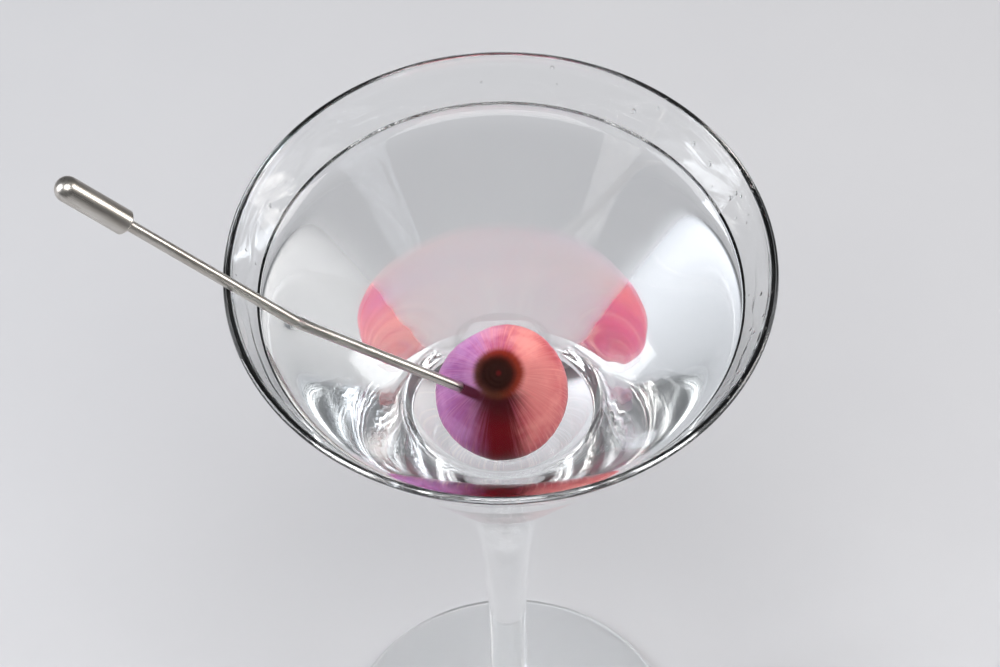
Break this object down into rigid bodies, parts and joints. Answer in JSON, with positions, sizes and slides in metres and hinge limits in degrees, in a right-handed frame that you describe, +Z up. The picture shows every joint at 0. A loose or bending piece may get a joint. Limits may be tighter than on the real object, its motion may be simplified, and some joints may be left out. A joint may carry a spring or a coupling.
{
  "type": "martini cocktail",
  "caption": "Stemmed V-shaped cocktail glass of clear spirit, with a pink pickled onion sunk in the drink on a steel pick that leans on the rim.",
  "frame": {"origin": "centre of the foot's flat underside, on the glass's own axis", "axes": "+Z up the stem; the pick leans on the rim at -X; -Y faces the viewer"},
  "size_m": [0.1204, 0.095, 0.2027],
  "materials": {
    "glass": "clear, polished",
    "drink": "clear liquid",
    "onion": "wet, glossy, slightly translucent",
    "steel": "polished"
  },
  "bodies": {
    "root": {"glass": "glass", "drink": "drink", "onion": "onion", "pick": "steel"}
  },
  "joints": []
}
